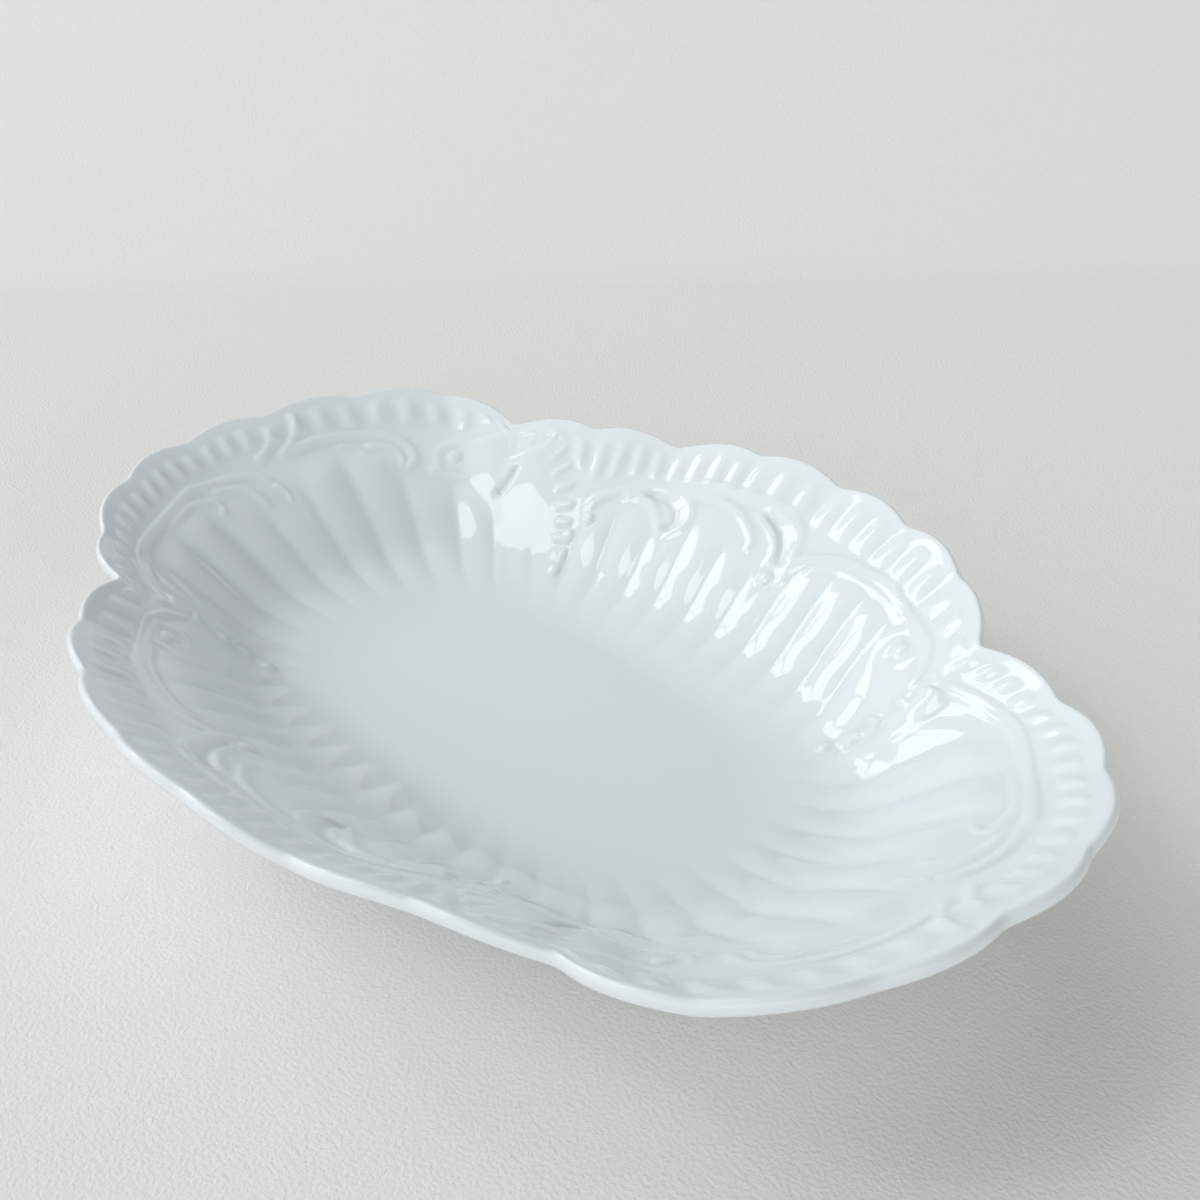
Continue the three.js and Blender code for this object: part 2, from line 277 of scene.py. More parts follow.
# Shares of the way out over which the ornament comes in above the well and goes out below the lip
ORNAMENT_FOOT = (0.0, 0.08)
ORNAMENT_HEAD = (0.94, 0.99)

# Glaze is at its thickest where the surface lies this far below what is round it, and so many rings and
# columns to each side count as round it
POOL_DEPTH = 0.0004
POOL_REACH = (3, 4)

# How many short chords stand for one stretch between two points
CHORDS = 6

# Rings on the inside: shares of the well's floor, and shares of the way from there to the lip
FLOOR_SHARES = (0.0, 0.35, 0.55, 0.65, 0.7, 0.74, 0.78, 0.82, 0.86, 0.9, 0.94, 0.97)
INNER_OUTS = np.concatenate([
    np.linspace(0, 0.3, 14), np.linspace(0.3, 0.96, 63)[1:], np.linspace(0.96, 1, 4)[1:]])

# Rings over the lip, down the outside and across the underside
LIP_ANGLES = np.linspace(LIP_START, LIP_END, 10)[1:]
OUTER_OUTS = np.linspace(0.95, 0.0, 13)
UNDER_SHARES = (0.9, 0.5, 0.0)

# Half of the foot's section, from the seam down its outer face to the face that it stands on: inset and
# height. The inner half is its mirror image.
FOOT_SECTION = [
    (0.0, SEAT_Z), (0.3 * MM, SEAT_Z * 0.75), (0.55 * MM, SEAT_Z * 0.45), (0.8 * MM, 0.7 * MM),
    (0.95 * MM, 0.25 * MM), (1.3 * MM, 0.0),
]

# Heights between which the foot's bare biscuit passes into glaze
GLAZE_EDGE = (0.0006, 0.001)

# How dark the slow drift of tone gets, beside the full colour
GLAZE_DRIFT = 0.985
BISCUIT_DRIFT = 0.9


class DishSizes(bpy.types.PropertyGroup):
    """Sizes of the dish"""

    length: bpy.props.FloatProperty(
        name="Length", description="Over the scallops, end to end", default=0.236, unit="LENGTH")
    width: bpy.props.FloatProperty(
        name="Width", description="Over the scallops, side to side", default=0.1654, unit="LENGTH")
    well_length: bpy.props.FloatProperty(
        name="Well length", description="Length of the oval flat inside", default=0.129, unit="LENGTH")
    well_width: bpy.props.FloatProperty(
        name="Well width", description="Width of the oval flat inside", default=0.072, unit="LENGTH")
    well_depth: bpy.props.FloatProperty(
        name="Well depth", description="From the rim's mean height down to the well", default=0.0275,
        unit="LENGTH")
    wall: bpy.props.FloatProperty(
        name="Wall", description="Thickness straight down", default=0.0042, unit="LENGTH")
    lip_height: bpy.props.FloatProperty(
        name="Lip height", description="Rounded edge, top to bottom", default=0.0028, unit="LENGTH")
    lip_width: bpy.props.FloatProperty(
        name="Lip width", description="Full width of the edge's rounding", default=0.002, unit="LENGTH")
    side_bulge: bpy.props.FloatProperty(
        name="Side bulge", description="A side scallop's crown beyond its cusps", default=0.0019,
        unit="LENGTH")
    side_lift: bpy.props.FloatProperty(
        name="Side lift", description="A side scallop's crown above its cusps", default=0.0016,
        unit="LENGTH")
    end_bulge: bpy.props.FloatProperty(
        name="End bulge", description="An end scallop's crown beyond its cusps", default=0.0026,
        unit="LENGTH")
    end_lift: bpy.props.FloatProperty(
        name="End lift", description="An end scallop's crown above its cusps", default=0.0011,
        unit="LENGTH")
    gadroon: bpy.props.FloatProperty(
        name="Gadroons", description="How far a gadroon swells", default=0.0009, unit="LENGTH")
    rib: bpy.props.FloatProperty(
        name="Ribs", description="How far a rib of the rim swells", default=0.0005, unit="LENGTH")
    foot_inset: bpy.props.FloatProperty(
        name="Foot inset", description="Foot's outer face inside the well's edge", default=0.0035,
        unit="LENGTH")
    foot_width: bpy.props.FloatProperty(
        name="Foot width", description="Foot ring where it meets the body", default=0.0052, unit="LENGTH")


class DishFinish(bpy.types.PropertyGroup):
    """Colours of the dish and its studio"""

    glaze: bpy.props.FloatVectorProperty(
        name="Glaze", description="Cool white of the glazed porcelain", subtype="COLOR",
        default=(0.795, 0.85, 0.88))
    pooled: bpy.props.FloatVectorProperty(
        name="Pooled glaze", description="Tint where the glaze lies thick", subtype="COLOR",
        default=(0.70, 0.77, 0.79))
    biscuit: bpy.props.FloatVectorProperty(
        name="Biscuit", description="Bare porcelain of the foot", subtype="COLOR",
        default=(0.78, 0.74, 0.67))
    floor: bpy.props.FloatVectorProperty(
        name="Floor", description="Plain pale floor and backdrop", subtype="COLOR",
        default=(0.855, 0.846, 0.828))


def smooth_step(value, low, high):
    """From 0 at low to 1 at high, level at both."""
    share = np.clip((value - low) / (high - low), 0.0, 1.0)
    return share * share * (3.0 - 2.0 * share)


def rounded(values, columns):
    """Values round the rim with their sharp corners taken off over so many columns."""
    weights = 1 + columns - np.abs(np.arange(-columns, columns + 1))
    shifted = [np.roll(values, step, 0) * weight for step, weight in enumerate(weights, -columns)]
    return np.sum(shifted, axis=0) / weights.sum()


def oval_point(half_x, half_y, angle):
    """A point of the rounded oval in this direction from its middle."""
    cos, sin = np.cos(angle), np.sin(angle)
    reach = np.abs(cos / half_x) ** OVAL_POWER + np.abs(sin / half_y) ** OVAL_POWER
    radius = reach ** (-1.0 / OVAL_POWER)
    return np.stack([radius * cos, radius * sin], -1)


def wall_rise(out):
    """Share of the wall's height at a share of the way out, as a smooth curve through the section."""
    out = np.clip(out, 0.0, 1.0)
    last = np.clip(np.searchsorted(WALL_OUT, out, "right") - 1, 0, len(WALL_OUT) - 2)
    start, step = np.take(WALL_OUT, last), WALL_OUT[1] - WALL_OUT[0]
    t = (out - start) / step
    low, high = np.take(WALL_UP, last), np.take(WALL_UP, last + 1)
    rise_in, rise_out = np.take(WALL_SLOPE, last) * step, np.take(WALL_SLOPE, last + 1) * step
    return (low * (1 + 2 * t) * (1 - t) ** 2 + rise_in * t * (1 - t) ** 2
            + high * t * t * (3 - 2 * t) - rise_out * t * t * (1 - t))


def catmull_rom(points, t):
    """A smooth curve through points, with t counted in points from the first."""
    points = np.asarray(points, float)
    last = len(points) - 1
    left = np.clip(np.floor(t).astype(int), 0, last - 1)
    f = (t - left)[:, None]
    before, a, b, after = (points[np.clip(left + i, 0, last)] for i in (-1, 0, 1, 2))
    slope_a, slope_b = (b - before) / 2, (after - a) / 2
    return (a * (1 + 2 * f) * (1 - f) ** 2 + slope_a * f * (1 - f) ** 2
            + b * f * f * (3 - 2 * f) - slope_b * f * f * (1 - f))


class Wall:
    """The wall's columns: where each leaves the well and meets the rim, and its place in the patterns."""

    def __init__(self, sizes):
        self.sizes = sizes
        reach = (sizes.length / 2 - sizes.end_bulge, sizes.width / 2 - sizes.side_bulge, 1)
        half = np.array(HALF_RIM) * reach
        cusps = np.vstack([half, half * (-1, -1, 1), half[:1]])
        place = np.arange(COLUMNS) / COLUMNS_PER_SCALLOP
        scallop = np.floor(place).astype(int)
        lobe = scallop // SCALLOPS_PER_LOBE
        across = (place - scallop)[:, None]
        chord = (cusps[scallop + 1] - cusps[scallop])[:, :2]
        outward = np.stack([-chord[:, 1], chord[:, 0]], -1)
        outward /= np.linalg.norm(outward, axis=1)[:, None]
        crown = 4 * across * (1 - across)
        bulge = np.where(lobe % 2, sizes.end_bulge, sizes.side_bulge)[:, None]
        self.lift = np.where(lobe % 2, sizes.end_lift, sizes.side_lift) * crown[:, 0]
        self.edge = cusps[scallop][:, :2] + chord * across + outward * crown * bulge
        self.place = place % HALF_SCALLOPS
        self.base = np.empty_like(self.edge)
        self.well = np.empty_like(self.edge)
        self.climb = np.empty(COLUMNS)
        for number in range(ALL_SCALLOPS // SCALLOPS_PER_LOBE):
            first = number * SCALLOPS_PER_LOBE
            here = lobe == number
            line = catmull_rom(cusps[first:first + SCALLOPS_PER_LOBE + 1], place[here] - first)
            self.base[here] = line[:, :2]
            self.climb[here] = sizes.well_depth * (1 + line[:, 2])
            share = (place[here] - first) / SCALLOPS_PER_LOBE
            self.well[here] = self.well_arc(number % 2, share) * (-1 if number > 1 else 1)
        self.edge, self.base = rounded(self.edge, RIM_COLUMNS), rounded(self.base, WALL_COLUMNS)
        self.low_climb, self.climb = rounded(self.climb, WALL_COLUMNS), rounded(self.climb, RIM_COLUMNS)
        self.lift = rounded(self.lift, RIM_COLUMNS)
        self.run = np.linalg.norm(self.edge - self.well, axis=1)

    def well_arc(self, is_end, share):
        """Points at equal steps along the well's edge below one lobe."""
        notch = WELL_NOTCH_ANGLE
        ends = (notch, -notch) if is_end else (math.pi - notch, notch)
        angles = np.linspace(*ends, WELL_STEPS)
        fine = oval_point(self.sizes.well_length / 2, self.sizes.well_width / 2, angles)
        walked = np.concatenate([[0.0], np.cumsum(np.linalg.norm(np.diff(fine, axis=0), axis=1))])
        return np.stack([np.interp(share * walked[-1], walked, fine[:, i]) for i in (0, 1)], -1)

    def lip_inset(self, angle):
        """How far inside the rim's edge the rounding lies at this angle of its section."""
        return self.sizes.lip_width / 2 * (1 - math.cos(angle))

    def lip_drop(self, angle):
        """How far below the rim's top the rounding lies at this angle of its section."""
        return self.sizes.lip_height / 2 * (1 - math.sin(angle))

    def height(self, out):
        """Height of the plain wall, without its relief."""
        near_rim = smooth_step(out, *SCALLOP_FADE)
        climb = self.low_climb + (self.climb - self.low_climb) * near_rim
        return SEAT_Z + self.sizes.wall + climb * wall_rise(out) + self.lift * near_rim

    def plan(self, out, inset):
        """Where the columns would end if they stopped this far inside the rim's edge."""
        rim = self.base + (self.edge - self.base) * smooth_step(out, *SCALLOP_FADE)
        return self.well + (rim - self.well) * (1.0 - inset / self.run)[:, None]

    def wall_plan(self, out):
        """The columns' plan points at a share of the way out."""
        return self.well + (self.plan(out, self.lip_inset(LIP_START)) - self.well) * out

    def spots(self, points):
        """Plan points for pairs of a place round the rim and a share of the way out."""
        found = []
        for place, out in points:
            ring = self.wall_plan(out)
            column = (place % ALL_SCALLOPS) * COLUMNS_PER_SCALLOP
            first = int(column)
            beyond = column - first
            found.append(ring[first] * (1 - beyond) + ring[(first + 1) % COLUMNS] * beyond)
        return np.array(found)

    def lip_ring(self, angle):
        height = self.height(1.0) - self.lip_drop(angle)
        return np.column_stack([self.plan(1.0, self.lip_inset(angle)), height])

    def inner_ring(self, out):
        height = self.height(out) - self.lip_drop(LIP_START) * wall_rise(out)
        return np.column_stack([self.wall_plan(out), height])

    def outer_ring(self, out):
        under = self.height(out) - self.sizes.wall - self.low_climb * WALL_UP[0] * (1 - out)
        return np.column_stack([self.wall_plan(out), under])

    def well_ring(self, share):
        """The well's edge drawn in towards the middle, on a floor that rises gently to the wall."""
        rise = self.low_climb * WALL_UP[0] * np.clip((share - WELL_FLAT) / (1 - WELL_FLAT), 0.0, 1.0) ** 2
        return np.column_stack([self.well * share, SEAT_Z + self.sizes.wall + rise])

    def under_ring(self, share):
        return np.column_stack([self.well * share, np.full(COLUMNS, SEAT_Z)])


def swelling(across):
    """Convex from one soft crease to the next: across runs from -1 to 1."""
    top = math.hypot(1, GADROON_CREASE) - GADROON_CREASE
    inside = np.hypot(np.clip(1 - np.abs(across), 0.0, 1.0), GADROON_CREASE) - GADROON_CREASE
    return inside * (2 * top - inside) / top ** 2


def between(count):
    """From -1 to 1 within each whole count."""
    return 2 * (count - np.floor(count)) - 1


def gadroon_height(place, out):
    """Swell of the gadroons, as a share of a full one."""
    leaning = place + LEAN * np.maximum(0.0, place - LEAN_START) * (out - LEAN_MIDDLE)
    side = (leaning - SIDE_FIRST_CREASE) / SIDE_GADROON
    end = (place - END_FIRST_CREASE) / END_GADROON
    on_side = place < SCALLOPS_PER_LOBE
    across = between(np.where(on_side, side, end))
    to_head = (np.interp(place, *zip(*HEADS)) - out) / GADROON_HEAD
    reach = smooth_step(out, *GADROON_FOOT) * smooth_step(to_head, *GADROON_HEAD_FADE)
    swell = swelling(across) * np.where(on_side, SIDE_SWELL, 1.0)
    from_notch = np.abs((place + SCALLOPS_PER_LOBE / 2) % SCALLOPS_PER_LOBE - SCALLOPS_PER_LOBE / 2)
    return reach * (NOTCH_SWELL + (swell - NOTCH_SWELL) * smooth_step(from_notch, 0.0, NOTCH_REACH))


def rib_height(place, out):
    """Swell of the ribs under the rim, as a share of a full one."""
    across = between(np.interp(place, *zip(*RIB_COUNTS)))
    low, high = np.interp(place, *zip(*RIB_LOW)), np.interp(place, *zip(*RIB_HIGH))
    along = np.clip((out - low) / np.maximum(high - low, RIB_SHORTEST), 0.0, 1.0)
    crest = (0.5 + 0.5 * np.cos(math.pi * across)) ** RIB_SHARPNESS
    return crest * (RIB_FOOT - RIB_LOSS * along) * (1 - np.abs(2 * along - 1) ** RIB_END_POWER)


def ridge_profile(share, grooved):
    """Cross-section of a raised line, with share 0 on its crest and 1 at its edge."""
    bump = np.clip(1 - share * share, 0.0, 1.0) ** 2
    if grooved:
        bump = bump * (1 - GROOVE_DEPTH * np.exp(-(share / GROOVE_HALF_WIDTH) ** 2))
    return bump


def along_path(flat, path, reach):
    """Which points lie near a path, their distance from it and how far along it they are, from 0 to 1."""
    near = np.all((flat > path.min(0) - reach) & (flat < path.max(0) + reach), axis=1)
    where = np.flatnonzero(near)
    start, step = path[:-1], np.diff(path, axis=0)
    gap = flat[where][:, None, :] - start
    share = np.clip(np.sum(gap * step, -1) / np.sum(step * step, -1), 0.0, 1.0)
    distance = np.linalg.norm(gap - share[..., None] * step, axis=-1)
    best = distance.argmin(1)
    row = np.arange(len(where))
    return where, distance[row, best], (best + share[row, best]) / len(step)


def smooth_path(points):
    """Short chords of a smooth curve through points."""
    steps = (len(points) - 1) * CHORDS
    return catmull_rom(points, np.linspace(0, len(points) - 1, steps + 1))


def coil_path(wall, place, out, radius, start, turns):
    """A spiral that winds clockwise on the wall, with angles counted from the way along the rim."""
    centre = wall.spots([(place, out)])[0]
    beside = [(place - COIL_SIDE_STEP, out), (place + COIL_SIDE_STEP, out)]
    along = np.diff(wall.spots(beside), axis=0)[0]
    along /= np.linalg.norm(along)
    outward = np.array([-along[1], along[0]])
    turn = np.linspace(0, 1, COIL_POINTS)[:, None]
    angle = start - turn * turns * 2 * math.pi
    size = radius * MM * (1 - (1 - COIL_INNER_SHARE) * turn)
    return centre + size * (np.cos(angle) * along + np.sin(angle) * outward)


def raised_lines(wall):
    """Every raised line as (path, height, half width, grooved, falling and narrowing towards its tip)."""
    for height, half_width, grooved, points in SCROLLS.values():
        yield smooth_path(wall.spots(points)), height, half_width, grooved, *SCROLL_TAPER
    for height, half_width, points in PADS.values():
        yield smooth_path(wall.spots(points)), height, half_width, False, *PAD_TAPER
    for height, half_width, points in FRILLS.values():
        yield smooth_path(wall.spots(points)), height, half_width, False, *FRILL_TAPER
    for coil in COILS:
        yield coil_path(wall, *coil), COIL_HEIGHT, COIL_HALF_WIDTH, False, *COIL_TAPER


def line_height(flat, path, rise, half_width, grooved, falling, narrowing):
    """Height of one raised line over the points near it."""
    where, distance, along = along_path(flat, path, half_width * MM)
    crest = rise * MM * (1 - falling * along) * smooth_step(along, *ROOT_FADE)
    share = distance / (half_width * MM * (1 - narrowing * along))
    return where, crest * ridge_profile(np.minimum(share, 1.0), grooved)


def ornament_height(wall, flat):
    """Scrolls, leaves, coils and beads at these plan points, run softly into each other, less the hollows."""
    raised = np.zeros(len(flat))
    sunk = np.zeros(len(flat))
    for side in (flat, -flat):
        for line in raised_lines(wall):
            where, height = line_height(side, *line)
            raised[where] += height ** BLEND_POWER
        for place, out, radius, rise in BEADS:
            share = np.linalg.norm(side - wall.spots([(place, out)]), axis=1) / (radius * MM)
            raised += (rise * MM) ** BLEND_POWER * np.clip(1 - share * share, 0.0, 1.0) ** 2
        for depth, half_width, points in HOLLOWS.values():
            path = smooth_path(wall.spots(points))
            where, height = line_height(side, path, depth, half_width, False, *HOLLOW_TAPER)
            sunk[where] = np.maximum(sunk[where], height)
    return raised ** (1 / BLEND_POWER) - sunk


def wall_relief(wall, flat):
    """Everything that stands up from the plain floor and wall, ring by ring. The two halves are alike."""
    half = COLUMNS // 2
    outs = np.concatenate([np.array(FLOOR_SHARES) - 1, INNER_OUTS])
    place, out = np.meshgrid(wall.place[:half], outs)
    swell = wall.sizes.gadroon * gadroon_height(place, out) + wall.sizes.rib * rib_height(place, out)
    ornament = ornament_height(wall, flat[:, :half].reshape(-1, 2)).reshape(place.shape)
    fade = smooth_step(out, *ORNAMENT_FOOT) * (1 - smooth_step(out, *ORNAMENT_HEAD))
    return np.tile(swell + ornament * fade, 2)


def hollowness(relief):
    """How far each point lies below the mean of its neighbours, from 0 to 1, where glaze gathers."""
    mean = relief
    for axis, reach in enumerate(POOL_REACH):
        mean = np.mean([np.roll(mean, step, axis) for step in range(-reach, reach + 1)], axis=0)
    return np.clip((mean - relief) / POOL_DEPTH, 0.0, 1.0)


def body_rings(wall):
    """All rings of the body, from the middle of the well, over the rim, to the middle of the underside."""
    inner = [wall.well_ring(share) for share in FLOOR_SHARES]
    inner = np.array(inner + [wall.inner_ring(out) for out in INNER_OUTS])
    relief = wall_relief(wall, inner[..., :2])
    inner[..., 2] += relief
    rings = list(inner)
    rings += [wall.lip_ring(angle) for angle in LIP_ANGLES]
    rings += [wall.outer_ring(out) for out in OUTER_OUTS]
    rings += [wall.under_ring(share) for share in UNDER_SHARES]
    pools = np.zeros((len(rings), COLUMNS))
    pools[:len(inner)] = hollowness(relief)
    return np.array(rings), pools


def wrap_net(rings, closed, pools=None):
    """Wraps a flat net of quads round the rings, one row to a ring. A closed net joins its ends too."""
    rows, steps = rings.shape[:2]
    rows_of_quads = rows if closed else rows - 1
    bm = bmesh.new()
    bmesh.ops.create_grid(bm, x_segments=steps, y_segments=rows_of_quads, size=1.0)
    flat = np.array([v.co for v in bm.verts])
    column = np.rint((flat[:, 0] + 1) / 2 * steps).astype(int) % steps
    row = np.rint((flat[:, 1] + 1) / 2 * rows_of_quads).astype(int) % rows
    for vert, place in zip(bm.verts, rings[row, column]):
        vert.co = place
    if pools is not None:
        layer = bm.verts.layers.float.new("glaze_pool")
        for vert, pool in zip(bm.verts, pools[row, column]):
            vert[layer] = pool
    return bm


def finish_mesh(bm, name, material, node):
    """Closes the seams and poles, turns the faces outwards and makes the object for a CAD node."""
    bmesh.ops.remove_doubles(bm, verts=bm.verts[:], dist=MERGE_DISTANCE)
    bmesh.ops.recalc_face_normals(bm, faces=bm.faces[:])
    for face in bm.faces:
        face.smooth = True
    if any(not edge.is_manifold for edge in bm.edges):
        raise RuntimeError(name + " isn't closed")
    mesh = bpy.data.meshes.new(name)
    bm.to_mesh(mesh)
    bm.free()
    mesh.materials.append(material)
    piece = bpy.data.objects.new(name, mesh)
    bpy.context.scene.collection.objects.link(piece)
    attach(piece, "root")
    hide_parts(node)


class Nodes:
    """Shorthand for wiring the tree of a material, group or world."""

    def __init__(self, tree):
        self.tree = tree

    def add(self, kind, **values):
        node = self.tree.nodes.new(kind)
        for key, value in values.items():
            setattr(node, key, value)
        return node

    def link(self, out, into):
        self.tree.links.new(out, into)


def glaze_group():
    """Slow drift of tone and faint unevenness of a fired surface, for glaze and biscuit alike."""
    group = bpy.data.node_groups.new("fired_surface", "ShaderNodeTree")
    sockets = [
        ("INPUT", "Scale", "NodeSocketFloat"),
        ("INPUT", "Colour", "NodeSocketColor"),
        ("INPUT", "Drift", "NodeSocketColor"),
        ("OUTPUT", "Colour", "NodeSocketColor"),
        ("OUTPUT", "Height", "NodeSocketFloat"),
    ]
    for way, name, kind in sockets:
        group.interface.new_socket(name, in_out=way, socket_type=kind)
    n = Nodes(group)
    inputs = n.add("NodeGroupInput")
    outputs = n.add("NodeGroupOutput")
    where = n.add("ShaderNodeTexCoord")
    tone = n.add("ShaderNodeTexNoise")
    tone.inputs["Detail"].default_value = 3.0
    peel = n.add("ShaderNodeTexNoise")
    peel.inputs["Detail"].default_value = 1.0
    finer = n.add("ShaderNodeMath", operation="MULTIPLY")
    finer.inputs[1].default_value = 3.0
    mix = n.add("ShaderNodeMix", data_type="RGBA")
    n.link(where.outputs["Object"], tone.inputs["Vector"])
    n.link(where.outputs["Object"], peel.inputs["Vector"])
    n.link(inputs.outputs["Scale"], tone.inputs["Scale"])
    n.link(inputs.outputs["Scale"], finer.inputs[0])
    n.link(finer.outputs[0], peel.inputs["Scale"])
    n.link(tone.outputs["Fac"], mix.inputs["Factor"])
    n.link(inputs.outputs["Colour"], mix.inputs["A"])
    n.link(inputs.outputs["Drift"], mix.inputs["B"])
    n.link(mix.outputs["Result"], outputs.inputs["Colour"])
    n.link(peel.outputs["Fac"], outputs.inputs["Height"])
    return group


def new_material(name):
    material = bpy.data.materials.new(name)
    material.use_nodes = True
    n = Nodes(material.node_tree)
    return material, n, material.node_tree.nodes["Principled BSDF"]


def opaque(colour):
    return (*colour, 1.0)


def glaze_material(finish, group):
    """Clear glossy glaze on cool white porcelain, a little greyer where it lies thick."""
    material, n, shader = new_material("white_glaze")
    surface = n.add("ShaderNodeGroup", node_tree=group)
    surface.inputs["Scale"].default_value = 22.0
    surface.inputs["Colour"].default_value = opaque(finish.glaze)
    surface.inputs["Drift"].default_value = opaque([c * GLAZE_DRIFT for c in finish.glaze])
    pool = n.add("ShaderNodeAttribute", attribute_name="glaze_pool")
    mix = n.add("ShaderNodeMix", data_type="RGBA")
    mix.inputs["B"].default_value = opaque(finish.pooled)
    bump = n.add("ShaderNodeBump")
    bump.inputs["Strength"].default_value = 0.35
    bump.inputs["Distance"].default_value = 0.00012
    n.link(pool.outputs["Fac"], mix.inputs["Factor"])
    n.link(surface.outputs["Colour"], mix.inputs["A"])
    n.link(mix.outputs["Result"], shader.inputs["Base Color"])
    n.link(surface.outputs["Height"], bump.inputs["Height"])
    n.link(bump.outputs["Normal"], shader.inputs["Normal"])
    shader.inputs["Roughness"].default_value = 0.045
    shader.inputs["IOR"].default_value = 1.5
    return material


def foot_material(finish, group):
    """Glazed on its sides, and bare, slightly rubbed biscuit where it stands."""
    material, n, shader = new_material("foot_porcelain")
    surface = n.add("ShaderNodeGroup", node_tree=group)
    surface.inputs["Scale"].default_value = 90.0
    surface.inputs["Colour"].default_value = opaque(finish.biscuit)
    surface.inputs["Drift"].default_value = opaque([c * BISCUIT_DRIFT for c in finish.biscuit])
    where = n.add("ShaderNodeTexCoord")
    split = n.add("ShaderNodeSeparateXYZ")
    glazed = n.add("ShaderNodeMapRange")
    glazed.inputs["From Min"].default_value = GLAZE_EDGE[0]
    glazed.inputs["From Max"].default_value = GLAZE_EDGE[1]
    mix = n.add("ShaderNodeMix", data_type="RGBA")
    mix.inputs["B"].default_value = opaque(finish.glaze)
    rough = n.add("ShaderNodeMapRange")
    rough.inputs["To Min"].default_value = 0.75
    rough.inputs["To Max"].default_value = 0.08
    bump = n.add("ShaderNodeBump")
    bump.inputs["Strength"].default_value = 0.3
    bump.inputs["Distance"].default_value = 0.00015
    n.link(where.outputs["Object"], split.inputs["Vector"])
    n.link(split.outputs["Z"], glazed.inputs["Value"])
    n.link(glazed.outputs["Result"], mix.inputs["Factor"])
    n.link(glazed.outputs["Result"], rough.inputs["Value"])
    n.link(surface.outputs["Colour"], mix.inputs["A"])
    n.link(mix.outputs["Result"], shader.inputs["Base Color"])
    n.link(rough.outputs["Result"], shader.inputs["Roughness"])
    n.link(surface.outputs["Height"], bump.inputs["Height"])
    n.link(bump.outputs["Normal"], shader.inputs["Normal"])
    return material


def fired_surface():
    return bpy.data.node_groups.get("fired_surface") or glaze_group()


class DISH_OT_body(bpy.types.Operator):
    """Wrap the body and press its lobes, scallops and relief"""

    bl_idname = "relish_dish.body"
    bl_label = "Dish Body"

    def execute(self, context):
        rings, pools = body_rings(Wall(context.scene.dish_sizes))
        bm = wrap_net(rings, closed=False, pools=pools)
        material = glaze_material(context.scene.dish_finish, fired_surface())
        finish_mesh(bm, "porcelain_body", material, "dish_body")
        return {"FINISHED"}


class DISH_OT_foot(bpy.types.Operator):
    """Wrap the foot ring round the oval of the well"""

    bl_idname = "relish_dish.foot"
    bl_label = "Foot Ring"

    def execute(self, context):
        sizes = context.scene.dish_sizes
        section = FOOT_SECTION + [(sizes.foot_width - inset, z) for inset, z in reversed(FOOT_SECTION)]
        angle = -2 * math.pi * np.arange(FOOT_COLUMNS) / FOOT_COLUMNS
        rings = []
        for inset, z in section:
            inside = sizes.foot_inset + inset
            flat = oval_point(sizes.well_length / 2 - inside, sizes.well_width / 2 - inside, angle)
            rings.append(np.column_stack([flat, np.full(FOOT_COLUMNS, z)]))
        bm = wrap_net(np.array(rings), closed=True)
        material = foot_material(context.scene.dish_finish, fired_surface())
        finish_mesh(bm, "porcelain_foot", material, "foot_ring")
        return {"FINISHED"}


# Studio: the camera in the dish's own frame, and the backdrop behind it
CAMERA_PLACE = Vector((0.18895, -0.14676, 0.17384))
CAMERA_AZIMUTH = math.radians(48.80)
CAMERA_ELEVATION = math.radians(29.99)
CAMERA_ROLL = math.radians(-0.82)
CAMERA_LENS = 42.28
BACKDROP_DISTANCE = 0.552
BACKDROP_RADIUS = 0.08
BACKDROP_SLOPE = math.radians(20)
BACKDROP_REACH = 2.5
BEND_STEPS = 8
STAGE_HALF_WIDTH = 4.0
STAGE_FRONT = 3.0

# Window panes that face the dish: azimuth, elevation, width, height and power
PANES = {
    "low_pane_left": (math.radians(186.5), math.radians(37.8), 0.37, 0.56, 2.1),
    "low_pane_right": (math.radians(199), math.radians(36), 0.37, 0.72, 2.7),
    "high_pane": (math.radians(234.5), math.radians(51.5), 0.56, 0.68, 3.9),
}
PANE_COLOUR = (0.955, 0.985, 1.0)
WINDOW_DISTANCE = 2.4

# Soft glows of the room: azimuth, elevation, cosine where the glow begins, strength and colour
GLOWS = [
    (math.radians(190), math.radians(40), 0.5, 1.36, (0.97, 0.99, 1.0)),
    (math.radians(325), math.radians(4), 0.35, 1.55, (0.99, 1.0, 0.985)),
    (math.radians(240), math.radians(3), 0.6, 0.95, (0.99, 1.0, 0.995)),
    (math.radians(60), math.radians(20), 0.3, 0.27, (1.0, 0.96, 0.84)),
]


def direction(azimuth, elevation):
    """Unit vector towards an azimuth, counted from +X to +Y, and an elevation."""
    level = math.cos(elevation)
    return Vector((math.cos(azimuth) * level, math.sin(azimuth) * level, math.sin(elevation)))


def floor_material(finish):
    """Matt, pale and finely grained."""
    material, n, shader = new_material("pale_floor")
    where = n.add("ShaderNodeTexCoord")
    grain = n.add("ShaderNodeTexNoise")
    grain.inputs["Scale"].default_value = 1300.0
    grain.inputs["Detail"].default_value = 1.0
    bump = n.add("ShaderNodeBump")
    bump.inputs["Strength"].default_value = 0.7
    bump.inputs["Distance"].default_value = 0.0003
    n.link(where.outputs["Object"], grain.inputs["Vector"])
    n.link(grain.outputs["Fac"], bump.inputs["Height"])
    n.link(bump.outputs["Normal"], shader.inputs["Normal"])
    shader.inputs["Base Color"].default_value = opaque(finish.floor)
    shader.inputs["Roughness"].default_value = 0.8
    return material


